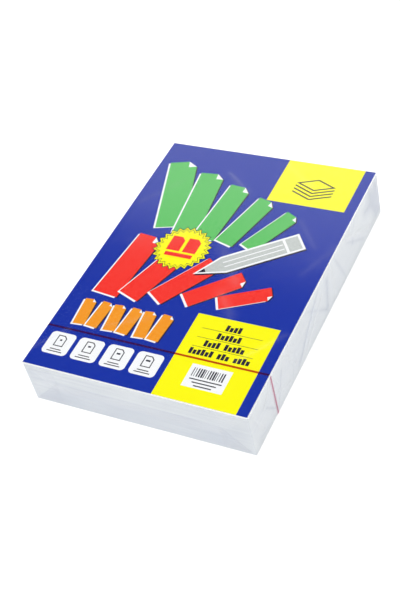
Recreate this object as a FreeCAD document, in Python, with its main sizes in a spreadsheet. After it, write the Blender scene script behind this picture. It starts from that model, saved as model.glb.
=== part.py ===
import FreeCAD, Part
import math
import os
import Sketcher

# A ream of office paper in a clear overwrap, in millimetres.
# X runs across the sheets, Y along them and Z up. The origin is the middle of the underside.
# The end nearest -Y carries the foot of the printed cover.
# Places on the print are measured from the left edge and the foot of the cover sheet.

SIZES = {
    # The stack and what is wrapped round it
    "sheet_width": 210,
    "sheet_length": 297,
    "sheet_count": 500,
    "sheet_thickness": 0.095,
    "cover_thickness": 0.1,
    "ink_thickness": 0.02,
    "film_thickness": 0.04,
    "side_slack": 0.4,
    "end_slack": 0.3,
    "lap_width": 20,
    "flap_overlap": 10,
    "tape_width": 2,
    "tape_thickness": 0.05,
    "tape_from_front": 45,
    # The two panels that bleed off the head and the foot of the cover
    "panel_width": 75.5,
    "panel_from_right": 10,
    "head_panel_height": 58,
    "foot_panel_height": 92,
    # The pictogram of stacked sheets in the middle of the head panel
    "pile_half_width": 19,
    "pile_slope_height": 8,
    "pile_stroke": 1.5,
    "pile_pitch": 4.2,
    # The rows of dark blocks that stand for lines of print on the foot panel
    "row_pitch": 10.1,
    "top_row_up": 79,
    "row_height": 6.6,
    "block_width": 2.9,
    "block_pitch": 3.7,
    "rule_length": 55,
    "rule_width": 0.4,
    # The white label with upright stripes on the foot panel
    "label_width": 36.5,
    "label_height": 24,
    "label_up": 15.5,
    "stripes_width": 29,
    "stripes_height": 9,
    "stripes_up": 11.5,
    "small_print_height": 1.1,
    "small_print_pitch": 3.2,
    # The four white badges along the foot
    "badge_size": 24.5,
    "badge_pitch": 28.4,
    "badge_left": 9,
    "badge_up": 15.3,
    "badge_corner": 4,
    "badge_stroke": 0.9,
    # White edges and dark shadows of the pages, as shifts of the page's own outline
    "edge_shift": 1.5,
    "shadow_shift": 1.4,
    # Green pages
    "green_left": 37,
    "green_up": 228,
    "green_step": 27,
    "green_drop": 7,
    "green_width": 27,
    "green_length": 92,
    "green_turn": -17,
    "green_turn_step": 11,
    # Red pages
    "red_left": 36,
    "red_up": 130,
    "red_step": 30,
    "red_drop": 3,
    "red_width": 25,
    "red_length": 78,
    "red_turn": 6,
    "red_turn_step": 14,
    # Orange pages
    "orange_left": 25,
    "orange_up": 67.5,
    "orange_step": 15,
    "orange_width": 11.5,
    "orange_length": 30,
    "orange_turn": 5,
    # The silver pencil
    "pencil_left": 139,
    "pencil_up": 165,
    "pencil_length": 94,
    "pencil_width": 17,
    "pencil_turn": 52,
    "pencil_point": 24,
    "pencil_lead": 7,
    "pencil_groove": 1.2,
    "pencil_band": 14,
    "pencil_rim": 2.2,
    # The pointed star
    "star_left": 75,
    "star_up": 161,
    "star_radius": 27,
    "star_valley": 23.2,
    "star_rim": 1,
    "star_line_inset": 2,
    "star_line_width": 0.7,
    "star_page_width": 13,
    "star_page_length": 18,
    "star_bar_width": 27,
    "star_bar_height": 4.6,
}

PAGES_IN_A_FAN = 5
ORANGE_PAGES = 6
BADGES = 4
STAR_POINTS = 24
PILE_SHEETS = 3
# How many blocks stand side by side in each word of the foot panel's rows.
ROWS_OF_WORDS = [[4], [6], [4, 5], [6, 3, 4]]
# Blocks follow these shares of the row's height in turn, as letters of unlike height would.
BLOCK_HEIGHTS = [1, 0.72, 0.86, 1, 0.72]
STRIPES = 14
# Small print under the stripes, as the share of the stripes' width that each row fills.
SMALL_PRINT_ROWS = [1, 0.75, 0.55]
# Each fan page is this share smaller than the one before it.
PAGE_SHRINK = 0.1
# The folded corner of a page, as a share of the page's width.
EAR_SHARE = 0.3
# Widths of the label's stripes, as shares of their pitch.
STRIPE_SHARES = [0.35, 0.5, 0.7, 0.25, 0.6]

# Worked-out lengths, as expressions on the sheet of sizes.
HALF_WIDTH = "sizes.sheet_width / 2"
HALF_LENGTH = "sizes.sheet_length / 2"
STACK_HEIGHT = "sizes.sheet_count * sizes.sheet_thickness"
# The stack lies on the tape, and the tape on the lap seam's second layer of film.
STACK_BASE = "sizes.film_thickness * 2 + sizes.tape_thickness"
COVER_BASE = f"{STACK_BASE} + {STACK_HEIGHT}"
INK_BASE = f"{COVER_BASE} + sizes.cover_thickness"
# Black is printed last, over the other inks.
OVERPRINT_BASE = f"{INK_BASE} + sizes.ink_thickness"
INK_TOP = f"{OVERPRINT_BASE} + sizes.ink_thickness"
# The film lies on the tape over the cover, and stands off the sides and the ends by its slack.
FILM_INSIDE_HALF = f"{HALF_WIDTH} + sizes.side_slack"
FILM_INSIDE_END = f"{HALF_LENGTH} + sizes.end_slack"
FILM_INSIDE_LENGTH = f"({FILM_INSIDE_END}) * 2"
FILM_OUTSIDE_HALF = f"{FILM_INSIDE_HALF} + sizes.film_thickness"
FILM_INSIDE_TOP = f"{INK_TOP} + sizes.tape_thickness"
FILM_OUTSIDE_TOP = f"{FILM_INSIDE_TOP} + sizes.film_thickness"
# Each end's upper and lower flap reach past the middle by half of their overlap.
FLAP_REACH = f"({FILM_OUTSIDE_TOP} + sizes.flap_overlap) / 2"
FLAP_SHORT_OF_FAR_EDGE = f"({FILM_OUTSIDE_TOP} - sizes.flap_overlap) / 2"
FLAP_MIDDLE = f"({FILM_OUTSIDE_TOP}) / 2"

document = FreeCAD.newDocument("paper_ream")
sheet = document.addObject("Spreadsheet::Sheet", "sizes")
for row, (alias, number) in enumerate(SIZES.items(), start=1):
    sheet.set(f"A{row}", alias)
    sheet.set(f"B{row}", str(number))
    sheet.setAlias(f"B{row}", alias)
document.recompute()


def value(expression):
    """The number that an expression on the sheet of sizes gives now."""
    return float(sheet.evalExpression(expression))


# Sketches, bodies and pads


def new_body(label, along=None, height=None):
    """A body of its own, placed by expressions for its Y and Z."""
    body = document.addObject("PartDesign::Body", label)
    body.Label = label
    if along:
        body.setExpression("Placement.Base.y", along)
    if height:
        body.setExpression("Placement.Base.z", height)
    return body


def origin_plane(body, role):
    """One of the body's own origin planes, such as XY_Plane."""
    return [feature for feature in body.Origin.OriginFeatures if feature.Role == role][0]


def new_sketch(body, name, role, offset=None):
    """A sketch on one of the body's origin planes, moved along the plane's normal by an expression."""
    sketch = body.newObject("Sketcher::SketchObject", name)
    sketch.AttachmentSupport = [(origin_plane(body, role), "")]
    sketch.MapMode = "FlatFace"
    if offset:
        sketch.setExpression("AttachmentOffset.Base.z", offset)
    return sketch


def add_sizes(sketch, measures):
    """Constrain a sketch by measures, each of them a kind, what it holds and an expression."""
    first = sketch.ConstraintCount
    sketch.addConstraint([Sketcher.Constraint(kind, *held, value(size)) for kind, held, size in measures])
    for number, (_, _, size) in enumerate(measures, start=first):
        sketch.setExpression(f"Constraints[{number}]", size)


def point_sizes(line, end, across, up):
    """The two measures that hold one end of a line, both from the sketch's origin."""
    return [("DistanceX", (-1, 1, line, end), across), ("DistanceY", (-1, 1, line, end), up)]


def draw_outline(sketch, corners):
    """A closed outline of straight lines between corners, each of them two expressions."""
    points = [FreeCAD.Vector(value(across), value(up), 0) for across, up in corners]
    first = sketch.GeometryCount
    count = len(points)
    following_points = points[1:] + points[:1]
    sketch.addGeometry([Part.LineSegment(start, end) for start, end in zip(points, following_points)])
    joints = []
    measures = []
    for index, (across, up) in enumerate(corners):
        following = first + (index + 1) % count
        joints.append(Sketcher.Constraint("Coincident", first + index, 2, following, 1))
        measures += point_sizes(first + index, 1, across, up)
    sketch.addConstraint(joints)
    add_sizes(sketch, measures)


def draw_rounded_square(sketch, left, low, side, corner):
    """A square with quarter circles at its corners. All of it is given as expressions."""
    right = f"{left} + {side}"
    high = f"{low} + {side}"
    in_left, in_right = f"{left} + {corner}", f"{right} - {corner}"
    in_low, in_high = f"{low} + {corner}", f"{high} - {corner}"
    lines = [
        ((in_left, low), (in_right, low)),
        ((right, in_low), (right, in_high)),
        ((in_right, high), (in_left, high)),
        ((left, in_high), (left, in_low)),
    ]
    centres = [(in_right, in_low), (in_right, in_high), (in_left, in_high), (in_left, in_low)]
    first = sketch.GeometryCount
    for index in range(4):
        start, end = [FreeCAD.Vector(value(across), value(up), 0) for across, up in lines[index]]
        sketch.addGeometry(Part.LineSegment(start, end))
        centre = FreeCAD.Vector(value(centres[index][0]), value(centres[index][1]), 0)
        circle = Part.Circle(centre, FreeCAD.Vector(0, 0, 1), value(corner))
        turned = math.radians(90 * index)
        sketch.addGeometry(Part.ArcOfCircle(circle, turned - math.pi / 2, turned))
    joints = []
    measures = []
    for index in range(4):
        line = first + 2 * index
        arc = line + 1
        following = first + (2 * index + 2) % 8
        joints.append(Sketcher.Constraint("Coincident", line, 2, arc, 1))
        joints.append(Sketcher.Constraint("Coincident", arc, 2, following, 1))
        measures += point_sizes(line, 1, *lines[index][0])
        measures += point_sizes(line, 2, *lines[index][1])
        measures.append(("Radius", (arc,), corner))
    sketch.addConstraint(joints)
    add_sizes(sketch, measures)


def rectangle(half_width, low, high):
    """Corners of a rectangle that is centred across and runs from low to high."""
    return [
        (f"-({half_width})", low),
        (half_width, low),
        (half_width, high),
        (f"-({half_width})", high),
    ]


def new_pad(body, name, sketch, length, both_ways=False):
    """A sketch padded along its normal, or by half the length to each side."""
    pad = body.newObject("PartDesign::Pad", name)
    pad.Profile = sketch
    if both_ways:
        pad.SideType = "Symmetric"
    pad.setExpression("Length", length)
    return pad


# The stack, the tape and the film


def build_flat_stack(label, thickness, height):
    """A block of sheets with square corners, or one sheet, lying flat."""
    body = new_body(label, height=height)
    sketch = new_sketch(body, f"{label}_outline", "XY_Plane")
    draw_outline(sketch, rectangle(HALF_WIDTH, f"-({HALF_LENGTH})", HALF_LENGTH))
    new_pad(body, f"{label}_pad", sketch, thickness)
    return body


def build_tear_tape():
    """A flat band once round the stack and its cover, across the sheets, bonded to the film's inside."""
    body = new_body("tear_tape", along=f"sizes.tape_from_front - {HALF_LENGTH}")
    sketch = new_sketch(body, "tape_loop", "XZ_Plane")
    draw_outline(sketch, rectangle(FILM_INSIDE_HALF, "sizes.film_thickness * 2", FILM_INSIDE_TOP))
    draw_outline(sketch, rectangle(f"{FILM_INSIDE_HALF} - sizes.tape_thickness", STACK_BASE, INK_TOP))
    new_pad(body, "tape_band", sketch, "sizes.tape_width", both_ways=True)
    return body


def tuck(side, rim, far):
    """The triangle of film that an end flap folds under itself, from a corner to its 45 degree crease.

    side is the sign of X. rim and far are the heights of the flap's folded edge and of its free edge.
    """
    sign = "-" if side < 0 else ""
    outer = f"{sign}({FILM_OUTSIDE_HALF})"
    inner = f"{sign}({FILM_OUTSIDE_HALF} - {FLAP_REACH})"
    return [(outer, rim), (inner, rim), (inner, far)]


def doubled_tuck(side):
    """Where the upper and the lower flap's tucks lie on each other, at one side."""
    sign = "-" if side < 0 else ""
    middle = f"{sign}({FILM_OUTSIDE_HALF} - {FLAP_MIDDLE})"
    inner = f"{sign}({FILM_OUTSIDE_HALF} - {FLAP_REACH})"
    return [(middle, FLAP_MIDDLE), (inner, FLAP_SHORT_OF_FAR_EDGE), (inner, FLAP_REACH)]


def end_fold_layers():
    """Name, outlines and number of film layers of each area of the envelope fold that closes an end."""
    inner_half = f"{FILM_OUTSIDE_HALF} - {FLAP_REACH}"
    upper = [tuck(side, FILM_OUTSIDE_TOP, FLAP_SHORT_OF_FAR_EDGE) for side in (-1, 1)]
    lower = [tuck(side, "0", FLAP_REACH) for side in (-1, 1)]
    return [
        ("end_wall", [rectangle(FILM_OUTSIDE_HALF, "0", FILM_OUTSIDE_TOP)], 1),
        ("flap_lap", [rectangle(inner_half, FLAP_SHORT_OF_FAR_EDGE, FLAP_REACH)], 2),
        ("upper_tucks", upper, 3),
        ("lower_tucks", lower, 3),
        ("doubled_tucks", [doubled_tuck(side) for side in (-1, 1)], 5),
    ]


def build_film_wrap():
    """One piece of film: a tube round the stack, lapped underneath and folded shut at both ends."""
    body = new_body("film_wrap")

    tube_sketch = new_sketch(body, "tube_section", "XZ_Plane")
    draw_outline(tube_sketch, rectangle(FILM_OUTSIDE_HALF, "0", FILM_OUTSIDE_TOP))
    draw_outline(tube_sketch, rectangle(FILM_INSIDE_HALF, "sizes.film_thickness", FILM_INSIDE_TOP))
    new_pad(body, "tube", tube_sketch, FILM_INSIDE_LENGTH, both_ways=True)

    lap_sketch = new_sketch(body, "lap_section", "XZ_Plane")
    lap = rectangle("sizes.lap_width / 2", "sizes.film_thickness", "sizes.film_thickness * 2")
    draw_outline(lap_sketch, lap)
    new_pad(body, "lap_seam", lap_sketch, FILM_INSIDE_LENGTH, both_ways=True)

    front_pads = []
    for name, outlines, layers in end_fold_layers():
        sketch = new_sketch(body, f"{name}_outline", "XZ_Plane", offset=FILM_INSIDE_END)
        for outline in outlines:
            draw_outline(sketch, outline)
        front_pads.append(new_pad(body, name, sketch, f"sizes.film_thickness * {layers}"))

    mirrored = body.newObject("PartDesign::Mirrored", "back_end_fold")
    mirrored.Originals = front_pads
    mirrored.MirrorPlane = (origin_plane(body, "XZ_Plane"), [""])
    body.Tip = mirrored
    return body


# The print, laid down field by field. A later field hides what it covers of an earlier one.
# Fields are as tall as both layers of ink, and each ink is trimmed to its own layer at the end.

BOTH_LAYERS = "sizes.ink_thickness * 2"
ONE_LAYER = "sizes.ink_thickness"
laid_fields = []
black_marks = []


def on_sheet(left, up):
    """A place on the cover, from its left edge and its foot, as the model's X and Y."""
    return f"({left}) - {HALF_WIDTH}", f"({up}) - {HALF_LENGTH}"


def new_block(name, left, up, width, height, base, thickness):
    """A flat block with square corners, given by its lower left corner on the cover."""
    block = document.addObject("Part::Box", name)
    across, along = on_sheet(left, up)
    block.setExpression("Length", width)
    block.setExpression("Width", height)
    block.setExpression("Height", thickness)
    block.setExpression("Placement.Base.x", across)
    block.setExpression("Placement.Base.y", along)
    block.setExpression("Placement.Base.z", base)
    return block


def sketch_on_cover(name, base):
    """A sketch that lies on the cover sheet, or on the first layer of ink."""
    sketch = document.addObject("Sketcher::SketchObject", f"{name}_outline")
    sketch.setExpression("Placement.Base.z", base)
    return sketch


def raise_sketch(name, sketch, thickness):
    """Give a sketch the thickness of one or both layers of ink."""
    field = document.addObject("Part::Extrusion", name)
    field.Base = sketch
    field.DirMode = "Normal"
    field.Solid = True
    field.setExpression("LengthFwd", thickness)
    return field


def new_outlined(name, outlines, base, thickness):
    """A flat shape of one or more outlines, whose corners are measured on the cover."""
    sketch = sketch_on_cover(name, base)
    for outline in outlines:
        draw_outline(sketch, [on_sheet(left, up) for left, up in outline])
    return raise_sketch(name, sketch, thickness)


def lay_block(name, ink, left, up, width, height):
    """Lay a field with four square corners."""
    laid_fields.append((ink, new_block(name, left, up, width, height, INK_BASE, BOTH_LAYERS)))


def lay_outlines(name, ink, outlines):
    """Lay a field of one or more outlines."""
    laid_fields.append((ink, new_outlined(name, outlines, INK_BASE, BOTH_LAYERS)))


def mark_block(name, left, up, width, height, base=OVERPRINT_BASE):
    """A small black block that nothing covers."""
    black_marks.append(new_block(name, left, up, width, height, base, ONE_LAYER))


def mark_outlines(name, outlines, base=OVERPRINT_BASE):
    """A black drawing that nothing covers."""
    black_marks.append(new_outlined(name, outlines, base, ONE_LAYER))


def turned(left, up, turn, corners):
    """Corners of a motif, turned clockwise about its middle and moved to its place."""
    placed = []
    for across, along in corners:
        right = f"{left} + ({across}) * cos({turn}) + ({along}) * sin({turn})"
        above = f"{up} - ({across}) * sin({turn}) + ({along}) * cos({turn})"
        placed.append((right, above))
    return placed


def page_corners(width, length):
    """An upright page with its upper right corner folded in, about its middle."""
    ear = f"({width}) * {EAR_SHARE}"
    half_width, half_length = f"({width}) / 2", f"({length}) / 2"
    return [
        (f"-{half_width}", f"-{half_length}"),
        (half_width, f"-{half_length}"),
        (half_width, f"{half_length} - {ear}"),
        (f"{half_width} - {ear}", half_length),
        (f"-{half_width}", half_length),
    ]


def ear_corners(width, length):
    """The folded corner of a page, as a triangle that lies on it."""
    ear = f"({width}) * {EAR_SHARE}"
    half_width, half_length = f"({width}) / 2", f"({length}) / 2"
    return [
        (f"{half_width} - {ear}", f"{half_length} - {ear}"),
        (half_width, f"{half_length} - {ear}"),
        (f"{half_width} - {ear}", half_length),
    ]


def lay_pages(name, ink, places, width, length):
    """Pages of one size with dark shadows to the right, white edges to the left and white ears."""
    corners = page_corners(width, length)
    layers = [
        ("shadow", "black", "sizes.shadow_shift", "-sizes.shadow_shift / 2", corners),
        ("edge", "white", "-sizes.edge_shift", "-sizes.edge_shift", corners),
        ("face", ink, "0", "0", corners),
        ("ear", "white", "0", "0", ear_corners(width, length)),
    ]
    for layer, layer_ink, across, along, layer_corners in layers:
        outlines = []
        for left, up, turn in places:
            outlines.append(turned(f"{left} + {across}", f"{up} + {along}", turn, layer_corners))
        lay_outlines(f"{name}_{layer}", layer_ink, outlines)


def lay_fan(colour):
    """A fan of pages that lean further to the right one by one, each smaller than the last."""
    for number in range(PAGES_IN_A_FAN):
        left = f"sizes.{colour}_left + sizes.{colour}_step * {number}"
        up = f"sizes.{colour}_up - sizes.{colour}_drop * {number}"
        turn = f"(sizes.{colour}_turn + sizes.{colour}_turn_step * {number})"
        scale = 1 - PAGE_SHRINK * number
        width = f"sizes.{colour}_width * {scale}"
        length = f"sizes.{colour}_length * {scale}"
        lay_pages(f"{colour}_page_{number + 1}", colour, [(left, up, turn)], width, length)


def lay_orange_pages():
    """A row of narrow pages that lean a little to the right and to the left in turn."""
    places = []
    for number in range(ORANGE_PAGES):
        lean = "" if number % 2 else "-"
        left = f"sizes.orange_left + sizes.orange_step * {number}"
        places.append((left, "sizes.orange_up", f"({lean}sizes.orange_turn)"))
    lay_pages("orange_pages", "orange", places, "sizes.orange_width", "sizes.orange_length")


def lay_head_panel():
    """A yellow panel at the head with a pictogram of sheets in a pile."""
    left = "sizes.sheet_width - sizes.panel_from_right - sizes.panel_width"
    low = "sizes.sheet_length - sizes.head_panel_height"
    lay_block("head_panel", "yellow", left, low, "sizes.panel_width", "sizes.head_panel_height")

    middle = f"{left} + sizes.panel_width / 2"
    up = f"{low} + sizes.head_panel_height / 2"
    half, slope, stroke = "sizes.pile_half_width", "sizes.pile_slope_height", "sizes.pile_stroke"
    rhombus = [("0", f"-{slope}"), (half, "0"), ("0", slope), (f"-{half}", "0")]
    inside = [
        ("0", f"{stroke} - {slope}"),
        (f"{half} * (1 - {stroke} / {slope})", "0"),
        ("0", f"{slope} - {stroke}"),
        (f"{half} * ({stroke} / {slope} - 1)", "0"),
    ]
    outlines = [turned(middle, up, "0", corners) for corners in (rhombus, inside)]
    for number in range(1, PILE_SHEETS + 1):
        drop = f"sizes.pile_pitch * {number}"
        chevron = [
            (f"-{half}", f"-{drop}"),
            ("0", f"-{slope} - {drop}"),
            (half, f"-{drop}"),
            (half, f"{stroke} - {drop}"),
            ("0", f"{stroke} - {slope} - {drop}"),
            (f"-{half}", f"{stroke} - {drop}"),
        ]
        outlines.append(turned(middle, up, "0", chevron))
    mark_outlines("pile_pictogram", outlines)


def mark_rows_of_print(middle):
    """Rows of dark blocks of unlike height, in words, with a thin rule over each row but the first."""
    for row, words in enumerate(ROWS_OF_WORDS):
        low = f"sizes.top_row_up - sizes.row_pitch * {row}"
        places = sum(words) + len(words) - 1
        first = f"{middle} - sizes.block_pitch * {places / 2}"
        slot = 0
        for word in words:
            for _ in range(word):
                share = BLOCK_HEIGHTS[slot % len(BLOCK_HEIGHTS)]
                left = f"{first} + sizes.block_pitch * {slot}"
                name = f"row_{row + 1}_block_{slot + 1}"
                mark_block(name, left, low, "sizes.block_width", f"sizes.row_height * {share}")
                slot += 1
            slot += 1
        if row:
            rule_left = f"{middle} - sizes.rule_length / 2"
            rule_low = f"{low} + (sizes.row_pitch + sizes.row_height) / 2"
            mark_block(f"rule_{row}", rule_left, rule_low, "sizes.rule_length", "sizes.rule_width")


def lay_striped_label(middle):
    """A white label with upright stripes of several widths and rows of small print."""
    left = f"{middle} - sizes.label_width / 2"
    lay_block("label", "white", left, "sizes.label_up", "sizes.label_width", "sizes.label_height")
    stripes_left = f"{middle} - sizes.stripes_width / 2"
    stripes_low = "sizes.label_up + sizes.stripes_up"
    pitch = f"sizes.stripes_width / {STRIPES}"
    for number in range(STRIPES):
        width = f"{pitch} * {STRIPE_SHARES[number * 3 % len(STRIPE_SHARES)]}"
        stripe_left = f"{stripes_left} + {pitch} * {number}"
        mark_block(f"stripe_{number + 1}", stripe_left, stripes_low, width, "sizes.stripes_height", INK_BASE)
    for number, share in enumerate(SMALL_PRINT_ROWS, start=1):
        width = f"sizes.stripes_width * {share}"
        low = f"{stripes_low} - sizes.small_print_pitch * {number}"
        small_left = f"{middle} - {width} / 2"
        mark_block(f"small_print_{number}", small_left, low, width, "sizes.small_print_height", INK_BASE)


def lay_foot_panel():
    """A yellow panel at the foot with rows of print and a striped label."""
    left = "sizes.sheet_width - sizes.panel_from_right - sizes.panel_width"
    lay_block("foot_panel", "yellow", left, "0", "sizes.panel_width", "sizes.foot_panel_height")
    middle = f"{left} + sizes.panel_width / 2"
    mark_rows_of_print(middle)
    lay_striped_label(middle)


def lay_badges():
    """White rounded squares in a row, each with an outlined page, a mark on it and two lines under it."""
    side, low, stroke = "sizes.badge_size", "sizes.badge_up", "sizes.badge_stroke"
    sketch = sketch_on_cover("badges", INK_BASE)
    page_outlines = []
    for number in range(BADGES):
        left = f"sizes.badge_left + sizes.badge_pitch * {number}"
        corner_left, corner_low = on_sheet(left, low)
        draw_rounded_square(sketch, corner_left, corner_low, side, "sizes.badge_corner")

        middle = f"{left} + {side} / 2"
        page_up = f"{low} + {side} * 0.62"
        width, length = f"{side} * 0.38", f"{side} * 0.5"
        inner_width, inner_length = f"({width} - {stroke} * 2)", f"({length} - {stroke} * 2)"
        page_outlines.append(turned(middle, page_up, "0", page_corners(width, length)))
        page_outlines.append(turned(middle, page_up, "0", page_corners(inner_width, inner_length)))

        mark_width = f"{side} * {0.08 + 0.03 * number}"
        lines = [
            ("mark", f"{middle} - {mark_width} / 2", page_up, mark_width, f"{side} * 0.07"),
            ("line", f"{middle} - {side} * 0.22", f"{low} + {side} * 0.21", f"{side} * 0.44", stroke),
            ("last_line", f"{middle} - {side} * 0.3", f"{low} + {side} * 0.11", f"{side} * 0.6", stroke),
        ]
        for line, line_left, line_low, line_width, height in lines:
            mark_block(f"badge_{number + 1}_{line}", line_left, line_low, line_width, height, INK_BASE)
    laid_fields.append(("white", raise_sketch("badges", sketch, BOTH_LAYERS)))
    mark_outlines("badge_pages", page_outlines, INK_BASE)


def pencil_corners(rim):
    """The pencil about its middle with its point down, made larger all round by a rim."""
    side = f"(sizes.pencil_width / 2 + {rim})"
    back = f"sizes.pencil_length / 2 + {rim}"
    shoulder = "sizes.pencil_point - sizes.pencil_length / 2"
    point = f"-(sizes.pencil_length / 2 + {rim} * 2)"
    return [(f"-{side}", back), (f"-{side}", shoulder), ("0", point), (side, shoulder), (side, back)]


def lay_pencil():
    """A silver pencil that points down to the left, with a white rim, a shadow, grooves and a band."""
    left, up, turn = "sizes.pencil_left", "sizes.pencil_up", "sizes.pencil_turn"
    half, half_length = "(sizes.pencil_width / 2)", "(sizes.pencil_length / 2)"
    rim = "sizes.pencil_rim"
    shadow_left = f"{left} + sizes.shadow_shift"
    shadow_up = f"{up} - sizes.shadow_shift"
    lay_outlines("pencil_shadow", "black", [turned(shadow_left, shadow_up, turn, pencil_corners(rim))])
    lay_outlines("pencil_edge", "white", [turned(left, up, turn, pencil_corners(rim))])
    lay_outlines("pencil_shaft", "silver", [turned(left, up, turn, pencil_corners("0"))])

    groove = "sizes.pencil_groove"
    groove_low = f"sizes.pencil_point - {half_length}"
    band_low = f"{half_length} - sizes.pencil_band"
    details = [rectangle(half, band_low, f"{band_low} + {groove} * 2")]
    groove_high = f"{band_low} - {groove}"
    for side in ("-", ""):
        near = f"{side}sizes.pencil_width / 6 - {groove} / 2"
        far = f"{near} + {groove}"
        details.append([(near, groove_low), (far, groove_low), (far, groove_high), (near, groove_high)])
    lay_outlines("pencil_grooves", "white", [turned(left, up, turn, corners) for corners in details])

    lead_half = f"{half} * sizes.pencil_lead / sizes.pencil_point"
    lead_back = f"sizes.pencil_lead - {half_length}"
    lead = [(f"-{lead_half}", lead_back), ("0", f"-{half_length}"), (lead_half, lead_back)]
    mark_outlines("pencil_lead", [turned(left, up, turn, lead)])


def star_corners(grow):
    """Points and valleys of the star in turn, all moved out from its middle by an expression."""
    corners = []
    for number in range(2 * STAR_POINTS):
        radius = "sizes.star_valley" if number % 2 else "sizes.star_radius"
        angle = 180 / STAR_POINTS * number
        across = f"sizes.star_left + ({radius} + {grow}) * sin({angle})"
        along = f"sizes.star_up + ({radius} + {grow}) * cos({angle})"
        corners.append((across, along))
    return corners


def lay_star():
    """A yellow star with a dark rim, a thin line inside it, two red pages and a red bar."""
    lay_outlines("star_rim", "black", [star_corners("sizes.star_rim")])
    lay_outlines("star", "yellow", [star_corners("0")])

    inset = "0 - sizes.star_line_inset"
    inner = f"{inset} - sizes.star_line_width"
    line = document.addObject("Part::Cut", "star_line")
    line.Base = new_outlined("star_line_outside", [star_corners(inset)], OVERPRINT_BASE, ONE_LAYER)
    line.Tool = new_outlined("star_line_inside", [star_corners(inner)], OVERPRINT_BASE, ONE_LAYER)
    black_marks.append(line)

    for number, side in enumerate(("-", ""), start=1):
        left = f"sizes.star_left + {side}sizes.star_page_width * 0.62"
        up = "sizes.star_up + sizes.star_page_length / 4"
        corners = page_corners("sizes.star_page_width", "sizes.star_page_length")
        lay_outlines(f"star_page_{number}", "red", [turned(left, up, "0", corners)])
    bar_left = "sizes.star_left - sizes.star_bar_width / 2"
    bar_low = "sizes.star_up - sizes.star_page_length / 4 - sizes.star_bar_height * 1.5"
    lay_block("star_bar", "red", bar_left, bar_low, "sizes.star_bar_width", "sizes.star_bar_height")


def lay_whole_print():
    """All fields of the cover, from the lowest to the highest."""
    lay_head_panel()
    lay_fan("green")
    lay_fan("red")
    lay_pencil()
    lay_star()
    lay_foot_panel()
    lay_orange_pages()
    lay_badges()


def join(name, shapes):
    """Fuse several objects. One alone stays as it is."""
    if len(shapes) == 1:
        return shapes[0]
    joined = document.addObject("Part::MultiFuse", name)
    joined.Shapes = shapes
    return joined


def share_ground(one, other):
    """Whether the boxes round two fields overlap, seen from above."""
    box, near = one.Shape.BoundBox, other.Shape.BoundBox
    across = box.XMin < near.XMax and near.XMin < box.XMax
    along = box.YMin < near.YMax and near.YMin < box.YMax
    return across and along


def seen_part(field, later_fields):
    """What shows of a field under the later fields. Black is printed over the others and covers none."""
    over = [later for ink, later in later_fields if ink != "black" and share_ground(field, later)]
    if not over:
        return field
    rest = document.addObject("Part::Cut", f"{field.Name}_seen")
    rest.Base = field
    rest.Tool = join(f"over_{field.Name}", over)
    return rest


def build_print():
    """One object for each ink. White is bare paper with no ink, and blue is the ground round the rest."""
    lay_whole_print()
    document.recompute()
    seen = {}
    for number, (ink, field) in enumerate(laid_fields):
        if ink != "white":
            seen.setdefault(ink, []).append(seen_part(field, laid_fields[number + 1:]))

    layers = {}
    for name, base in (("first_layer", INK_BASE), ("black_layer", OVERPRINT_BASE)):
        layers[name] = new_block(name, "0", "0", "sizes.sheet_width", "sizes.sheet_length", base, ONE_LAYER)

    inks = []
    for ink, fields in seen.items():
        trimmed = document.addObject("Part::MultiCommon", f"{ink}_on_sheet")
        layer = layers["black_layer" if ink == "black" else "first_layer"]
        trimmed.Shapes = [join(f"{ink}_fields", fields), layer]
        if ink == "black":
            whole = document.addObject("Part::Compound", "print_black")
            whole.Links = [trimmed, *black_marks]
        else:
            whole = trimmed
        whole.Label = f"print_{ink}"
        inks.append(whole)

    ground = document.addObject("Part::Cut", "print_blue")
    ground.Base = layers["first_layer"]
    ground.Tool = join("all_fields", [field for ink, field in laid_fields if ink != "black"])
    inks.append(ground)
    return inks


pieces = [
    build_flat_stack("paper_block", STACK_HEIGHT, STACK_BASE),
    build_flat_stack("cover_sheet", "sizes.cover_thickness", COVER_BASE),
    build_tear_tape(),
    build_film_wrap(),
]
pieces += build_print()
document.recompute()

failed = [item.Name for item in document.Objects if {"Invalid", "Error"} & set(item.State)]
if failed:
    raise RuntimeError(f"These objects failed: {failed}")
for piece in pieces:
    if piece.Shape.isNull() or not piece.Shape.isValid():
        raise RuntimeError(f"{piece.Label} has no valid shape")

os.makedirs("parts", exist_ok=True)
for piece in pieces:
    piece.Shape.exportStep(f"parts/{piece.Label}.step")
    shape, box = piece.Shape, piece.Shape.BoundBox
    print(f"{piece.Label}: {len(shape.Solids)} solids, {len(shape.Faces)} faces, {shape.Volume:.2f} mm3")
    for axis, low, high in (("X", box.XMin, box.XMax), ("Y", box.YMin, box.YMax), ("Z", box.ZMin, box.ZMax)):
        print(f"  {axis} {low:.2f} to {high:.2f}")
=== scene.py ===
import math

import bpy
import numpy as np
from mathutils import Matrix


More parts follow.
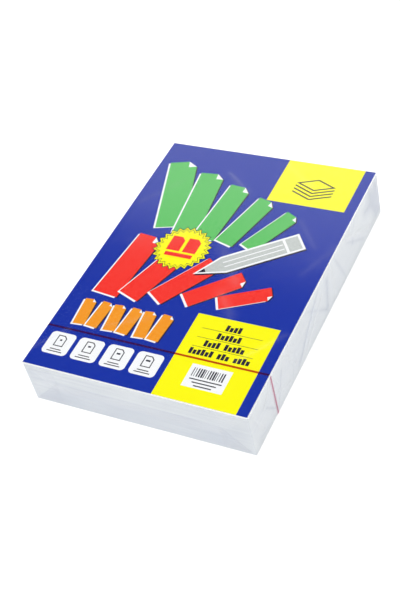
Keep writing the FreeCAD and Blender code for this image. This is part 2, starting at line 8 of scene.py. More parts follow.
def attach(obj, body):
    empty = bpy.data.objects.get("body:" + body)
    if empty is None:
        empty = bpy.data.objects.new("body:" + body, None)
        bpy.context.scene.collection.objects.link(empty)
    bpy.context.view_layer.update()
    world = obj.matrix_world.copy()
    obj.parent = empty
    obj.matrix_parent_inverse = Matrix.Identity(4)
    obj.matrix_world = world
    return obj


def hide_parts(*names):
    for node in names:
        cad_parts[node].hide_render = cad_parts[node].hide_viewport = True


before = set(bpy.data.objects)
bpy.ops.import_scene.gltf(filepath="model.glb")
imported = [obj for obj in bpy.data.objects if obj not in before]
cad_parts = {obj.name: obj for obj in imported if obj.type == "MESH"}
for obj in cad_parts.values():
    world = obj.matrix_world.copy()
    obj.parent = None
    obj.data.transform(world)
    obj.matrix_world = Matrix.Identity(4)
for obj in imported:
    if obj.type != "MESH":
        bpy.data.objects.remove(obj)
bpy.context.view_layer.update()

# The looks of a wrapped ream of paper: its sheets, its printed cover, its tear tape and its film.
# Lengths are in millimetres until a mesh, a lamp or the camera is made. X runs across the sheets,
# Y along them and Z up, with the foot of the cover nearest -Y.

MM = 0.001
chance = np.random.default_rng(80)

SHEET_COUNT = 500
SHEET_HALF_WIDTH = 105.0
SHEET_HALF_LENGTH = 148.5
STACK_BASE = 0.13
STACK_TOP = 47.63
BUNDLE_INSET = 0.05
SHEET_INSET = 0.05
SHEET_SLOPE = 0.02
MOST_INSET = 0.13

TAPE_PLACE = -103.5
TAPE_HALF_WIDTH = 1.0
TAPE_INSET = 0.04

# The film's faces, a hair inside those of the CAD solid, and the rounding of its long edges
FILM_HALF_WIDTH = 105.42
FILM_RIM = 148.42
FILM_TOP = 47.845
FILM_BASE = 0.06
FILM_MIDDLE = (FILM_TOP + FILM_BASE) / 2
FILM_HALF_HEIGHT = (FILM_TOP - FILM_BASE) / 2
FILM_ROUNDING = 0.7
EDGE_STEPS = (0.15, 0.45, 0.9, 1.6)
FLAP_REACH = 28.9
UPPER_FLAP_PLACE = 148.97
LOWER_FLAP_PLACE = 148.88
TUCK_PLACE = 148.64
SEAM_HALF_WIDTH = 10
SEAM_TONE = -0.6
MOST_SAG = 0.34
END_BOW = 0.025

# The bright line on the edges round the top, a stronger mirror share and a painted highlight of
# thick white haze: full within the first distance, gone at the second
FULL_SHINE = 0.55
NO_SHINE = 1.15
MIRROR_SHARE = 0.05
EDGE_MIRROR_SHARE = 0.6

# A crease's narrow core, as a share of its width, and the core's share of the whole crease
CREASE_CORE = 0.3
CORE_SHARE = 0.45

# How many points the walls' flat parts have across and along
TOP_STEPS = 90
SIDE_STEPS = 56
UNDERSIDE_STEPS = 22
LENGTH_STEPS = 260

# The photograph's camera
CAMERA_PLACE = (0.4409, -0.6306, 0.7559)
CAMERA_AZIMUTH = 35.98
CAMERA_ELEVATION = 44.25
CAMERA_ROLL = -15.09
LENS = 71.41

# The studio, in metres
LAMP_PLACE = (-0.2, -0.3, 1.9)
LAMP_SIDE = 1.2
LAMP_WATTS = 14.0
PANEL_PLACE = (-1.0, 1.4, 1.6)
PANEL_HALF_SPANS = (1.9, 1.3)
FLOOR_HALF_SPAN = 6.0
FLOOR_GLOW = 0.42
WORLD_LIGHT = 0.77


# Meshes from arrays

def grid_faces(rows, columns, start=0):
    """The four corners of each cell of a grid whose points are numbered row by row."""
    first = np.arange(rows - 1)[:, None] * columns + np.arange(columns - 1)[None, :] + start
    cells = np.stack([first, first + 1, first + columns + 1, first + columns], axis=-1)
    return cells.reshape(-1, 4)


def weld(points, faces):
    """Points that share a place, to a ten-thousandth of a millimetre, become one point.

    It gives the numbers of the points that are kept, and the faces in terms of those.
    """
    places = np.round(points * 10000).astype(np.int64)
    _, kept, renumbered = np.unique(places, axis=0, return_index=True, return_inverse=True)
    return kept, renumbered.reshape(-1)[faces]


def new_piece(name, points, faces, caps=(), smooth=False):
    """A mesh object at the origin from points in millimetres, four-cornered faces and end caps."""
    mesh = bpy.data.meshes.new(name)
    mesh.from_pydata((points * MM).tolist(), [], faces.tolist() + list(caps))
    mesh.polygons.foreach_set("use_smooth", np.full(len(mesh.polygons), smooth))
    mesh.update()
    piece = bpy.data.objects.new(name, mesh)
    bpy.context.scene.collection.objects.link(piece)
    return piece


# Shapes

def sheet_edges():
    """The stack: each sheet is a level band round the sheet's outline, set inward by its own amount.

    The inset is the sum of two slow sines down the stack, for bundles that shifted together, a
    random part for each side of each sheet, and a slope along each side.
    """
    along = np.linspace(-1, 1, 11)[:-1]
    ones = np.ones_like(along)
    outline = np.concatenate([
        np.stack([along, -ones], axis=1),
        np.stack([ones, along], axis=1),
        np.stack([-along, ones], axis=1),
        np.stack([-ones, -along], axis=1),
    ])
    outward = np.where(np.abs(outline) == 1, outline, 0)
    number = np.arange(SHEET_COUNT)[:, None]
    bundles = 0.5 + 0.25 * np.sin(number / 17.0) + 0.25 * np.sin(number / 6.3 + 2)
    shifts = chance.random((SHEET_COUNT, 4)).repeat(len(along), axis=1)
    slopes = chance.random((SHEET_COUNT, 1)) * (outline[:, 0] * outline[:, 1])[None, :]
    inset = BUNDLE_INSET * bundles + SHEET_INSET * shifts + SHEET_SLOPE * slopes
    inset = np.clip(inset, 0, MOST_INSET)
    flat = outline * (SHEET_HALF_WIDTH, SHEET_HALF_LENGTH)
    rings = flat[None, :, :] - outward[None, :, :] * inset[:, :, None]
    rings = rings.repeat(2, axis=0)
    levels = np.linspace(STACK_BASE, STACK_TOP, SHEET_COUNT + 1)
    heights = np.stack([levels[:-1], levels[1:]], axis=1).reshape(-1)
    heights = np.broadcast_to(heights[:, None, None], rings.shape[:2] + (1,))
    points = np.concatenate([rings, heights], axis=2)
    points = np.concatenate([points, points[:, :1]], axis=1)
    rows, columns = points.shape[:2]
    faces = grid_faces(rows, columns)
    points = points.reshape(-1, 3)
    closed = np.arange(rows)[:, None] * columns + np.arange(columns)[None, :] % (columns - 1)
    faces = closed.reshape(-1)[faces]
    foot = tuple(range(columns - 2, -1, -1))
    head = tuple((rows - 1) * columns + column for column in range(columns - 1))
    return points, faces, [foot, head]


def soft_crease(along, up, start, end, width):
    """1 on the line from start to end, falling off with the distance from it.

    It falls off as a mean of two bell curves, one of the full width and one of a narrow core.
    """
    run = np.subtract(end, start)
    share = ((along - start[0]) * run[0] + (up - start[1]) * run[1]) / (run @ run)
    share = np.clip(share, 0, 1)
    distance = np.hypot(along - start[0] - share * run[0], up - start[1] - share * run[1])
    core = np.exp(-(distance / (CREASE_CORE * width)) ** 2)
    return CORE_SHARE * core + (1 - CORE_SHARE) * np.exp(-(distance / width) ** 2)


# A wall's section is drawn lying on top, across the stack and out from its middle. Each of these
# turns carries it to its own side, as X and Z.

def lie_on_top(section):
    return section + (0, FILM_MIDDLE)


def lie_on_right(section):
    return np.stack([section[:, 1], FILM_MIDDLE - section[:, 0]], axis=1)


def lie_below(section):
    return np.stack([-section[:, 0], FILM_MIDDLE - section[:, 1]], axis=1)


def lie_on_left(section):
    return np.stack([-section[:, 1], FILM_MIDDLE + section[:, 0]], axis=1)


# Half the length of a wall's section, and how far the wall is from the middle of the stack
LEVEL_WALL = (FILM_HALF_WIDTH, FILM_HALF_HEIGHT)
UPRIGHT_WALL = (FILM_HALF_HEIGHT, FILM_HALF_WIDTH)

# Creases of the film on the right side: where each starts and ends, as distance from the front
# end and height, how wide it is, and how much lighter or darker than the flat film it looks, a
# painted highlight above 0 and a painted shade below 0.
RIGHT_CREASES = [
    ((92, 5), (146, 42), 3.0, -1.0),
    ((104, 4), (150, 30), 2.5, 0.9),
    ((118, 45), (158, 8), 2.5, -0.7),
    ((160, 2), (166, 36), 6.0, -0.9),
    ((176, 4), (180, 40), 4.0, 0.6),
    ((186, 44), (204, 4), 3.0, -0.6),
    ((208, 46), (264, 11), 4.5, 1.0),
    ((214, 36), (250, 8), 3.0, -0.7),
    ((238, 46), (226, 24), 2.2, -0.7),
    ((288, 4), (274, 46), 7.0, -1.0),
    ((262, 30), (296, 24), 8.0, -0.8),
    ((47, 3), (63, 33), 1.8, -0.9),
    ((46, 45), (56, 26), 1.5, 0.9),
    ((50, 20), (74, 8), 2.0, 0.7),
    ((42, 10), (29, 26), 1.6, -0.8),
    ((40, 40), (24, 30), 2.0, 0.8),
    ((70, 45), (88, 16), 3.0, 0.7),
    ((78, 4), (90, 26), 2.0, -0.5),
    ((6, 42), (20, 10), 3.0, 0.6),
    ((12, 8), (30, 4), 3.0, -0.5),
    ((293, 2), (289, 46), 9.0, -1.0),
]

# The same for the top's painted highlights, faint white streaks of painted reflection along
# creases, where each starts and ends at places across and along the sheets.
PAINTED_TOP_HIGHLIGHTS = [
    ((-30, 118), (0, 95), 2.8, 0.42),
    ((8, 20), (36, -16), 7.0, 0.3),
    ((28, -30), (47, -52), 6.0, 0.26),
    ((-98, 60), (-72, 96), 3.0, 0.2),
    ((62, 70), (86, 42), 3.4, 0.18),
    ((-62, -96), (-22, -74), 3.2, 0.2),
    ((72, -98), (101, -60), 2.8, 0.26),
    ((-104, -130), (-84, -104), 2.8, 0.26),
    ((20, 142), (52, 118), 3.0, 0.2),
    ((88, 8), (104, 46), 3.6, 0.16),
    ((-80, 10), (-40, 40), 8.0, 0.1),
]


def random_creases(count, length, height):
    """Creases for a face that the photograph doesn't show, spread along it with a fixed seed, with tones of
    painted shade and painted highlight.
    """
    creases = []
    for place in np.linspace(0.04, 0.94, count):
        start = (length * (place + 0.03 * chance.standard_normal()), height * chance.uniform(0.05, 0.3))
        lean = 0.12 * length * chance.standard_normal() / 2
        end = (start[0] + lean, height * chance.uniform(0.6, 0.95))
        creases.append((start, end, chance.uniform(1.8, 6.0), chance.choice([-0.8, -0.5, 0.6, 0.8])))
    return creases


def painted_crease_tones_and_depths(along, up, creases):
    """The sum of the creases' tones at each point, painted shade below 0 and painted highlight above 0, and
    of their depths without regard to tone.
    """
    tone = np.zeros_like(along)
    depth = np.zeros_like(along)
    for start, end, width, strength in creases:
        bell = soft_crease(along, up, start, end, width)
        tone += bell * strength
        depth += bell * abs(strength)
    return np.clip(tone, -1, 1), np.clip(depth, 0, 1)


def corner_arc(middle, radius, start, end):
    """Points of a circle's arc round a middle, from one angle to another in degrees."""
    angles = np.radians(np.linspace(start, end, 5))
    return np.array(middle) + radius * np.stack([np.cos(angles), np.sin(angles)], axis=1)


def wall_section(turn, half_span, steps, inset=0.0):
    """One wall of the film's cross section, from the middle of one rounded edge to that of the next.

    It is an arc of 45 degrees, a straight run and another arc, drawn lying on top and turned to its
    side of the stack. An inset draws it that much nearer the stack.
    """
    face = half_span[1] - inset
    radius = FILM_ROUNDING - inset
    span = half_span[0] - FILM_ROUNDING
    left = corner_arc((-span, face - radius), radius, 135, 90)
    right = corner_arc((span, face - radius), radius, 90, 45)
    beside = span - np.array(EDGE_STEPS)
    across = np.concatenate([-beside, np.linspace(-beside[-1], beside[-1], steps)[1:-1], beside[::-1]])
    middle = np.stack([across, np.full(len(across), face)], axis=1)
    return turn(np.concatenate([left, middle, right]))


def wall_rows(place):
    """A wall's path from its front free edge, over the fold, along the stack and down the back.

    Each row has its place along the stack and its distance from the fold. Over the fold the two
    are joined by a quarter of an ellipse.
    """
    flap = np.linspace(FLAP_REACH, FILM_ROUNDING, 15)
    fold = FILM_ROUNDING * np.array([0.7, 0.42, 0.2, 0.06])
    drop = np.concatenate([flap, fold])
    share = np.clip(drop / FILM_ROUNDING, 0, 1)
    end = FILM_RIM + (place - FILM_RIM) * np.sqrt(1 - (1 - share) ** 2)
    beside = FILM_RIM - np.array([0, *EDGE_STEPS])
    middle = np.linspace(-beside[-1], beside[-1], LENGTH_STEPS)[1:-1]
    body = np.concatenate([-beside, middle, beside[::-1]])
    rows = np.concatenate([-end, body, end[::-1]])
    drops = np.concatenate([drop, np.zeros_like(body), drop[::-1]])
    return rows, drops


def film_wall(section, inward, place, narrows):
    """A wall of the film with its two end flaps, as one grid of rows along the stack.

    A flap is the wall's section carried inward over the end. Where it narrows, its sides run in
    at 45 degrees, as the fold of the corner leaves them.
    """
    rows, drops = wall_rows(place)
    across = np.broadcast_to(section[None, :, :], (len(rows),) + section.shape).copy()
    across += np.asarray(inward) * drops[:, None, None]
    if narrows:
        across[:, :, 0] *= 1 - drops[:, None] / FILM_HALF_WIDTH
    lengthwise = np.broadcast_to(rows[:, None], across.shape[:2])
    return np.stack([across[:, :, 0], lengthwise, across[:, :, 1]], axis=2), drops


def sag_side_with_painted_creases(points, drops, side, creases):
    """A long side's film moves inward between its edges, least in its creases and at the tape.

    It moves in by a share of the most sag: 1 less the creases' depth, times a curve that is 0 at
    both edges, times 1 less a bell curve about the tear tape, times a slow wave. It gives the
    creases' tones, painted shade and painted highlight, times the same curve, off the flaps.
    """
    along = points[:, :, 1] + SHEET_HALF_LENGTH
    up = points[:, :, 2]
    tone, depth = painted_crease_tones_and_depths(along, up, creases)
    height = np.clip((up - 1.2) / (FILM_TOP - 2.4), 0, 1)
    belly = np.clip(np.sin(np.pi * height) * 2.2, 0, 1)
    ends = np.clip((FILM_RIM - np.abs(points[:, :, 1])) / 4, 0, 1)
    held = 1 - np.exp(-((points[:, :, 1] - TAPE_PLACE) / 4.0) ** 2)
    slow = 0.75 + 0.25 * np.sin(along / 23 + up / 9)
    points[:, :, 0] -= side * MOST_SAG * belly * ends * held * slow * (1 - depth)
    return tone * belly * np.where(drops[:, None] > 0, 0, 1)


def painted_top_highlights(points, drops):
    """The painted highlights of the top's faint creases, white streaks of painted reflection, on the part
    of its wall that lies on the cover.
    """
    tone, _ = painted_crease_tones_and_depths(points[:, :, 0], points[:, :, 1], PAINTED_TOP_HIGHLIGHTS)
    return tone * np.where(drops[:, None] > 0, 0, 1)


def end_ripple_and_painted_shade(points, drops, phase, painted_flap_shade):
    """The flaps on the ends bow inward by a few hundredths of a millimetre, in low waves.

    Their tone is painted light and shade: a share of the wave, lighter and darker with the bow, less the
    flap's painted shade, which grows from the fold on.
    """
    wave = np.sin(points[:, :, 0] / 13 + phase) * np.sin(points[:, :, 2] / 8 + phase * 2)
    free = np.clip((drops[:, None] - 2) / 6, 0, 1)
    points[:, :, 1] -= np.sign(points[:, :, 1]) * END_BOW * (1 + wave) * free
    return 0.15 * wave * free - painted_flap_shade * np.clip(drops[:, None] / 2, 0, 1)


def edge_shine(points):
    """1 on the rounded edges round the top, falling evenly to 0 on the faces beside them.

    The distance from an edge is the larger of the distance inward from the film's outline and the
    distance below its top.
    """
    inward = np.minimum(FILM_HALF_WIDTH - np.abs(points[:, 0]), UPPER_FLAP_PLACE - np.abs(points[:, 1]))
    below = FILM_TOP - points[:, 2]
    return np.clip((NO_SHINE - np.maximum(inward, below)) / (NO_SHINE - FULL_SHINE), 0, 1)


def film_surface():
    """The whole film: four walls with their flaps, and the seam's overlap along the underside."""
    # Each wall's section, the way in from it, its flap's place, whether that narrows, and its flaps'
    # painted shade, lighter where below 0
    walls = [
        (wall_section(lie_on_top, LEVEL_WALL, TOP_STEPS), (0, -1), UPPER_FLAP_PLACE, True, -0.05),
        (wall_section(lie_on_right, UPRIGHT_WALL, SIDE_STEPS), (-1, 0), TUCK_PLACE, False, 0.12),
        (wall_section(lie_below, LEVEL_WALL, UNDERSIDE_STEPS), (0, 1), LOWER_FLAP_PLACE, True, 0.42),
        (wall_section(lie_on_left, UPRIGHT_WALL, SIDE_STEPS), (1, 0), TUCK_PLACE, False, 0.26),
    ]
    top, right, _, left = range(len(walls))
    all_points, all_faces, all_tones = [], [], []
    start = 0
    for number, (section, inward, place, narrows, painted_flap_shade) in enumerate(walls):
        points, drops = film_wall(section, inward, place, narrows)
        # From here on the tone is painted light and shade: darker and lighter flaps and creases
        tone = end_ripple_and_painted_shade(points, drops, number, painted_flap_shade)
        if number == top:
            tone += painted_top_highlights(points, drops)
        if number == right:
            tone += sag_side_with_painted_creases(points, drops, 1, RIGHT_CREASES)
        if number == left:
            tone += sag_side_with_painted_creases(points, drops, -1, random_creases(14, 2 * SHEET_HALF_LENGTH, FILM_TOP))
        all_points.append(points.reshape(-1, 3))
        all_tones.append(tone.reshape(-1))
        all_faces.append(grid_faces(*points.shape[:2], start))
        start += points.shape[0] * points.shape[1]
    seam = seam_strip()
    all_points.append(seam.reshape(-1, 3))
    all_tones.append(np.full(seam.shape[0] * seam.shape[1], SEAM_TONE))
    all_faces.append(grid_faces(*seam.shape[:2], start)[:, ::-1])
    points = np.concatenate(all_points)
    kept, faces = weld(points, np.concatenate(all_faces))
    return points[kept], faces, np.concatenate(all_tones)[kept]


def tape_ring():
    """The tape's ring: the film's whole section drawn a little smaller, at three places along Y."""
    walls = [
        wall_section(lie_on_top, LEVEL_WALL, 40, TAPE_INSET)[:-1],
        wall_section(lie_on_right, UPRIGHT_WALL, 12, TAPE_INSET)[:-1],
        wall_section(lie_below, LEVEL_WALL, 40, TAPE_INSET)[:-1],
        wall_section(lie_on_left, UPRIGHT_WALL, 12, TAPE_INSET)[:-1],
    ]
    ring = np.concatenate(walls)
    ring = np.concatenate([ring, ring[:1]])
    lengthwise = TAPE_PLACE + TAPE_HALF_WIDTH * np.array([-1.0, 0.0, 1.0])
    across = np.broadcast_to(ring[None, :, :], (len(lengthwise),) + ring.shape)
    along = np.broadcast_to(lengthwise[:, None], across.shape[:2])
    points = np.stack([across[:, :, 0], along, across[:, :, 1]], axis=2)
    faces = grid_faces(*points.shape[:2])
    kept, faces = weld(points.reshape(-1, 3), faces)
    return points.reshape(-1, 3)[kept], faces


def seam_strip():
    """The overlap of the film's two long edges, a strip just under the bottom wall.

    Its height is a product of two sines, a hundredth of a millimetre high.
    """
    across = np.linspace(-SEAM_HALF_WIDTH, SEAM_HALF_WIDTH, 9)
    along = np.linspace(-FILM_RIM, FILM_RIM, 100)
    x, y = np.meshgrid(across, along)
    lift = 0.012 * (1 + np.sin(y / 7) * np.sin(x / 2.5)) + 0.002
    return np.stack([x, y, lift], axis=2)


# Shader nodes

def tint(red, green, blue):
    """A colour as a screen shows it, from 0 to 255, as the linear numbers that a shader takes."""
    shares = np.array([red, green, blue]) / 255
    linear = np.where(shares <= 0.04045, shares / 12.92, ((shares + 0.055) / 1.055) ** 2.4)
    return (*linear.tolist(), 1.0)


class Signal:
    """An output of a node. Arithmetic on it adds the Math node of that step."""

    def __init__(self, finish, socket):
        self.finish = finish
        self.socket = socket

    def __add__(self, other):
        return self.finish.math("ADD", self, other)

    def __radd__(self, other):
        return self.finish.math("ADD", other, self)

    def __sub__(self, other):
        return self.finish.math("SUBTRACT", self, other)

    def __rsub__(self, other):
        return self.finish.math("SUBTRACT", other, self)

    def __mul__(self, other):
        return self.finish.math("MULTIPLY", self, other)

    def __rmul__(self, other):
        return self.finish.math("MULTIPLY", other, self)

    def power(self, other):
        return self.finish.math("POWER", self, other)

    def at_least(self, other):
        return self.finish.math("MAXIMUM", self, other)

    def at_most(self, other):
        return self.finish.math("MINIMUM", self, other)


class Finish:
    """The nodes of one material or of the world."""

    def __init__(self, tree):
        self.tree = tree
        tree.nodes.clear()

    def node(self, kind, settings=None, values=None, output=0):
        """Adds a node of any kind: its settings first, then the values or links of its sockets."""
        made = self.tree.nodes.new(kind)
        for name, setting in (settings or {}).items():
            setattr(made, name, setting)
        for socket, value in (values or {}).items():
            if isinstance(value, Signal):
                self.tree.links.new(value.socket, made.inputs[socket])
            else:
                made.inputs[socket].default_value = value
        return Signal(self, made.outputs[output]) if made.outputs else None

    def math(self, operation, first, second):
        return self.node("ShaderNodeMath", {"operation": operation}, {0: first, 1: second})

    def blend(self, share, first, second):
        """The first colour where share is 0 and the second where it is 1."""
        return self.node("ShaderNodeMix", {"data_type": "RGBA"}, {0: share, 6: first, 7: second}, output=2)

    def overlay(self, share, first, second):
        """The first surface where share is 0 and the second where it is 1."""
        return self.node("ShaderNodeMixShader", None, {0: share, 1: first, 2: second})

    def clear(self, colour):
        return self.node("ShaderNodeBsdfTransparent", None, {"Color": colour})

    def glow(self, level):
        return self.node("ShaderNodeEmission", None, {"Color": level, "Strength": 1.0})

    def place(self, stretch):
        """The place on the object in metres, multiplied along X, Y and Z."""
        place = self.node("ShaderNodeTexCoord", output=3)
        return self.node("ShaderNodeMapping", None, {"Vector": place, "Scale": stretch})

    def attribute(self, name):
        return self.node("ShaderNodeAttribute", {"attribute_name": name}, output=2)

    def noise(self, stretch, detail=3.0):
        """Soft noise from 0 to 1, with stretch cells to the metre along X, Y and Z."""
        return self.node(
            "ShaderNodeTexNoise", None, {"Vector": self.place(stretch), "Scale": 1.0, "Detail": detail}
        )

    def ramp(self, signal, low, high):
        """0 where the signal is at low or less, 1 at high or more, and a smooth curve between."""
        return self.node(
            "ShaderNodeMapRange", {"interpolation_type": "SMOOTHSTEP"},
            {"Value": signal, "From Min": low, "From Max": high},
        )

    def bump(self, height, distance):
        """A relief as high as the distance, in metres, where the height signal is 1."""
        return self.node("ShaderNodeBump", None, {"Height": height, "Distance": distance})

    def principled(self, colour, roughness, normal, shine):
        """The plain surface shader. Shine is its mirror level, where 0.5 is that of most plastics."""
        return self.node("ShaderNodeBsdfPrincipled", None, {
            "Base Color": colour,
            "Roughness": roughness,
            "Normal": normal,
            "Specular IOR Level": shine,
        })


def new_finish(name):
    material = bpy.data.materials.new(name)
    material.use_nodes = True
    return material, Finish(material.node_tree)


def end_material(finish, shader):
    finish.node("ShaderNodeOutputMaterial", None, {"Surface": shader})


# Finishes

def sheet_edge_finish():
    """Bright office paper seen on its cut edges: fine level streaks, cutter marks and slight tone."""
    material, finish = new_finish("sheet_edges")
    streaks = finish.noise((6, 6, 5200), 4.0)
    bundles = finish.noise((9, 9, 420), 3.0)
    clouds = finish.noise((22, 22, 60), 2.0)
    cutter = finish.noise((1500, 1500, 25), 2.0)
    tone = (streaks * 0.5 + bundles * 0.3 + clouds * 0.2).at_most(1.0)
    colour = finish.blend(finish.ramp(tone, 0.3, 0.7), tint(227, 232, 239), tint(245, 249, 251))
    relief = finish.bump(streaks * 0.7 + cutter * 0.3, 0.00006)
    end_material(finish, finish.principled(colour, 0.7 + streaks * 0.25, relief, 0.2))
    return material


def fibres(finish):
    """Paper's surface: fibre-sized noise over slow clouds of thicker and thinner paper."""
    return finish.noise((2600, 1700, 2600), 4.0) * 0.6 + finish.noise((160, 160, 160), 3.0) * 0.4


def cover_paper_finish():
    """The cover sheet where no ink lies: smooth coated white paper."""
    material, finish = new_finish("cover_sheet_paper")
    grain = fibres(finish)
    colour = finish.blend(finish.ramp(grain, 0.3, 0.7), tint(247, 249, 252), tint(253, 254, 255))
    end_material(finish, finish.principled(colour, 0.42 + grain * 0.2, finish.bump(grain, 0.00002), 0.15))
    return material


def ink_finish(name, thin, full):
    """Offset ink on coated paper: the colour is a little thinner where the paper took less of it."""
    material, finish = new_finish(name)
    grain = fibres(finish)
    mottle = finish.noise((420, 420, 420), 3.0)
    speck = finish.ramp(finish.noise((3800, 3800, 3800), 2.0), 0.68, 0.78)
    cover = (finish.ramp(mottle, 0.25, 0.75) * 0.7 + finish.ramp(grain, 0.3, 0.7) * 0.3).at_most(1.0)
    colour = finish.blend(cover * (1 - speck * 0.5), thin, full)
    end_material(finish, finish.principled(colour, 0.36 + mottle * 0.16, finish.bump(grain, 0.00002), 0.1))
    return material


def film_gloss(finish, edge):
    """The share of light that the film mirrors, and the ripples that bend its reflections.

    The share is the same from both sides of the film: a base share, and the rest times the fifth
    power of 1 less the cosine of the angle at which the light arrives. Where the film is rolled
    over the edges of the stack it is tight, and mirrors far more.
    """
    ripples = finish.noise((16, 5, 34), 2.0) * 0.7 + finish.noise((70, 45, 90), 2.0) * 0.3
    normal = finish.bump(ripples, 0.00035)
    slant = finish.node("ShaderNodeLayerWeight", None, {"Blend": 0.5, "Normal": normal}, output=1)
    rolled = finish.ramp(edge, 0.75, 1.0)
    share = MIRROR_SHARE + (1 - MIRROR_SHARE) * slant.power(5) + rolled * EDGE_MIRROR_SHARE
    return share.at_most(1.0), normal


def film_finish():
    """Clear glossy film: see-through, with a mirror share, a faint haze and painted shade and highlights.

    The haze is thicker in creases and on the end flaps, as painted shade and painted highlight,
    and thickest on the tight edges, as a painted highlight. Where the tone attribute is below 0 the
    film looks greyer and bluer, a painted shade, and above 0 whiter, a painted highlight.
    """
    material, finish = new_finish("clear_film")
    tone_with_painted_light = finish.attribute("tone_with_painted_light")
    edge = finish.attribute("edge_shine")
    mirror, normal = film_gloss(finish, edge)
    dust = finish.noise((900, 900, 900), 3.0)
    painted_highlight_part = tone_with_painted_light.at_least(0.0)
    grey_and_painted_shade_part = (tone_with_painted_light * -1).at_least(0.0)
    # Painted highlight: a thick white haze on the tight edges
    tight = finish.ramp(edge, 0.5, 0.75)
    # A little dust haze, then painted highlight, painted shade and the painted edge highlight
    haze = 0.001 + dust * 0.003 + painted_highlight_part * 0.2 + grey_and_painted_shade_part * 0.19 + tight * 0.85
    # Grey-blue where the tone is below 0, as painted shade; white elsewhere
    colour = finish.blend((grey_and_painted_shade_part * 4).at_most(1.0), tint(254, 255, 255), tint(148, 164, 205))
    milk = finish.principled(colour, 0.35, normal, 0.3)
    gloss = finish.node(
        "ShaderNodeBsdfGlossy", None, {"Color": tint(255, 255, 255), "Roughness": 0.12, "Normal": normal}
    )
    veiled = finish.overlay(haze, finish.clear(tint(255, 255, 255)), milk)
    end_material(finish, finish.overlay(mirror, veiled, gloss))
    return material


def tape_finish():
    """Thin red tape that lets the print below darken it."""
    material, finish = new_finish("red_tape")
    threads = finish.noise((4000, 300, 4000), 3.0)
    tinted = finish.clear((0.72, 0.26, 0.42, 1))
    colour = finish.blend(threads, tint(200, 40, 45), tint(228, 62, 60))
    red = finish.principled(colour, 0.25 + threads * 0.15, finish.bump(threads, 0.00003), 0.4)
    end_material(finish, finish.overlay(0.03 + threads * 0.06, tinted, red))
    return material


# The object

def dress_node(name, material):
    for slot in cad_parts[name].material_slots:
        slot.material = material


INKS = {
    "print_blue": (tint(20, 54, 168), tint(4, 42, 166)),
    "print_yellow": (tint(255, 250, 12), tint(255, 252, 0)),
    "print_green": (tint(104, 202, 108), tint(78, 190, 88)),
    "print_red": (tint(250, 66, 54), tint(246, 36, 30)),
    "print_silver": (tint(206, 211, 208), tint(192, 198, 196)),
    "print_orange": (tint(248, 166, 50), tint(244, 148, 20)),
    "print_black": (tint(44, 42, 62), tint(24, 22, 44)),
}


def make_paper_stack():
    points, faces, caps = sheet_edges()
    stack = new_piece("paper_stack", points, faces, caps)
    stack.data.materials.append(sheet_edge_finish())
    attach(stack, "root")
    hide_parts("paper_block")


def make_film():
    points, faces, tone_with_painted_light = film_surface()
    film = new_piece("overwrap", points, faces, smooth=True)
    # The first attribute is the film's tone, mostly painted light and shade; the second masks the edges for
    # their mirror share and painted highlight
    for name, values in (("tone_with_painted_light", tone_with_painted_light), ("edge_shine", edge_shine(points))):
        layer = film.data.attributes.new(name, "FLOAT", "POINT")
        layer.data.foreach_set("value", values.astype(np.float32))
    film.data.materials.append(film_finish())
    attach(film, "root")
    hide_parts("film_wrap")


def make_tear_tape():
    tape = new_piece("red_tear_tape", *tape_ring(), smooth=True)
    tape.data.materials.append(tape_finish())
    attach(tape, "root")
    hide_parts("tear_tape")


def dress_cover():
    dress_node("cover_sheet", cover_paper_finish())
    for name, (thin, full) in INKS.items():
        dress_node(name, ink_finish(name.replace("print", "ink"), thin, full))


# The studio

def rays_that_see(finish):
    """1 for the rays that show the background: the camera's, mirrored ones and those through glass."""
    seen = None
    for output in ("Is Camera Ray", "Is Glossy Ray", "Is Transmission Ray"):
        ray = finish.node("ShaderNodeLightPath", None, None, output=output)
        seen = ray if seen is None else seen + ray
    return seen.at_most(1.0)


def make_floor():
    """A pale floor. Rays that see it get a little more white, so that only the shadow is left."""
    corners = np.array([[-1, -1, 0], [1, -1, 0], [1, 1, 0], [-1, 1, 0]]) * FLOOR_HALF_SPAN / MM
    floor = new_piece("studio_floor", corners - (0, 0, 0.02), np.array([[0, 1, 2, 3]]))
    material, finish = new_finish("pale_floor")
    grain = finish.noise((40, 40, 40), 2.0)
    colour = finish.blend(grain, tint(238, 238, 238), tint(242, 242, 242))
    pale = finish.node("ShaderNodeBsdfDiffuse", None, {"Color": colour})
    glow = finish.glow(rays_that_see(finish) * FLOOR_GLOW)
    end_material(finish, finish.node("ShaderNodeAddShader", None, {0: pale, 1: glow}))
    floor.data.materials.append(material)


def make_world():
    """White for the rays that see it, and a softer light on everything else."""
    world = bpy.data.worlds.new("studio")
    world.use_nodes = True
    bpy.context.scene.world = world
    finish = Finish(world.node_tree)
    seen = rays_that_see(finish)
    level = seen + (1 - seen) * WORLD_LIGHT
    sky = finish.node("ShaderNodeBackground", None, {"Color": (1, 1, 1, 1), "Strength": level})
    finish.node("ShaderNodeOutputWorld", None, {"Surface": sky})


def aim(place, target):
    """A turn that points an object's -Z from its place to the target, with its X level."""
    back = np.subtract(place, target)
    back = back / np.linalg.norm(back)
    right = np.cross((0, 0, 1), back)
    right = right / np.linalg.norm(right)
    return np.stack([right, np.cross(back, right), back], axis=1)


def placed(turn, place):
    matrix = Matrix(turn.tolist()).to_4x4()
    matrix.translation = place
    return matrix


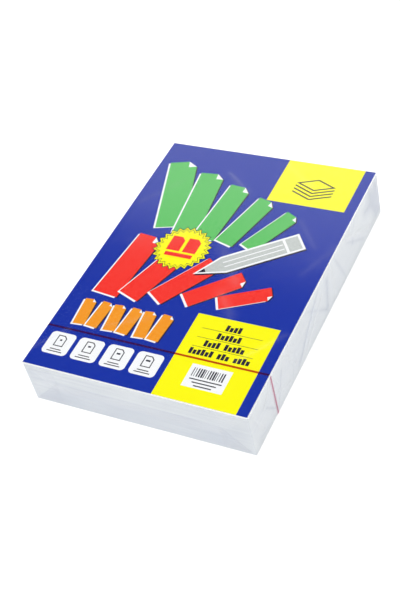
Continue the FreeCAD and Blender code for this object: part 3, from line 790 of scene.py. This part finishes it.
def make_lamp():
    """A square soft light high over the ream, which no gloss mirrors."""
    lamp = bpy.data.lights.new("high_lamp", "AREA")
    lamp.shape = "RECTANGLE"
    lamp.size = LAMP_SIDE
    lamp.size_y = LAMP_SIDE
    lamp.energy = LAMP_WATTS
    holder = bpy.data.objects.new("high_lamp", lamp)
    bpy.context.scene.collection.objects.link(holder)
    holder.matrix_world = placed(aim(LAMP_PLACE, (0, 0, 0.02)), LAMP_PLACE)
    holder.visible_glossy = False


def make_reflector():
    """A large soft panel behind the far left, brighter low down, that the top of the film mirrors.

    Its light follows the level, a sum of shares of the place's X, Y and Z.
    """
    turn = aim(PANEL_PLACE, (0, 0, 0.05))
    across, up = np.meshgrid((-1, 1), (-1, 1))
    flat = np.stack([across, up, np.zeros_like(up)], axis=2).reshape(-1, 3) * (*PANEL_HALF_SPANS, 0)
    points = (flat @ turn.T + PANEL_PLACE) / MM
    panel = new_piece("soft_panel", points, np.array([[0, 1, 3, 2]]))
    material, finish = new_finish("panel_light")
    place = finish.node("ShaderNodeTexCoord", output=3)
    level = finish.node(
        "ShaderNodeVectorMath", {"operation": "DOT_PRODUCT"}, {0: place, 1: (-0.332, -0.237, 1.0)}, output=1
    )
    near_edge = 1 - finish.ramp(level, 1.5, 1.62)
    far_part = 1 - finish.ramp(level, 1.3, 1.58)
    end_material(finish, finish.glow(0.05 + near_edge * 1.1 + far_part * 0.45))
    panel.data.materials.append(material)
    panel.visible_camera = False


def make_camera():
    """The photograph's camera, turned to its azimuth and elevation and rolled about its own axis."""
    azimuth, elevation, roll = np.radians((CAMERA_AZIMUTH, CAMERA_ELEVATION, CAMERA_ROLL))
    back = np.array([
        math.sin(azimuth) * math.cos(elevation),
        -math.cos(azimuth) * math.cos(elevation),
        math.sin(elevation),
    ])
    level = np.cross((0, 0, 1), back)
    level = level / np.linalg.norm(level)
    upright = np.cross(back, level)
    right = math.cos(roll) * level + math.sin(roll) * upright
    up = math.cos(roll) * upright - math.sin(roll) * level
    lens = bpy.data.cameras.new("camera")
    lens.sensor_width = 36
    lens.lens = LENS
    camera = bpy.data.objects.new("camera", lens)
    bpy.context.scene.collection.objects.link(camera)
    camera.matrix_world = placed(np.stack([right, up, back], axis=1), CAMERA_PLACE)
    bpy.context.scene.camera = camera


make_camera()
make_paper_stack()
make_tear_tape()
make_film()
dress_cover()
make_floor()
make_world()
make_reflector()
make_lamp()
bpy.context.scene.view_settings.view_transform = "Standard"
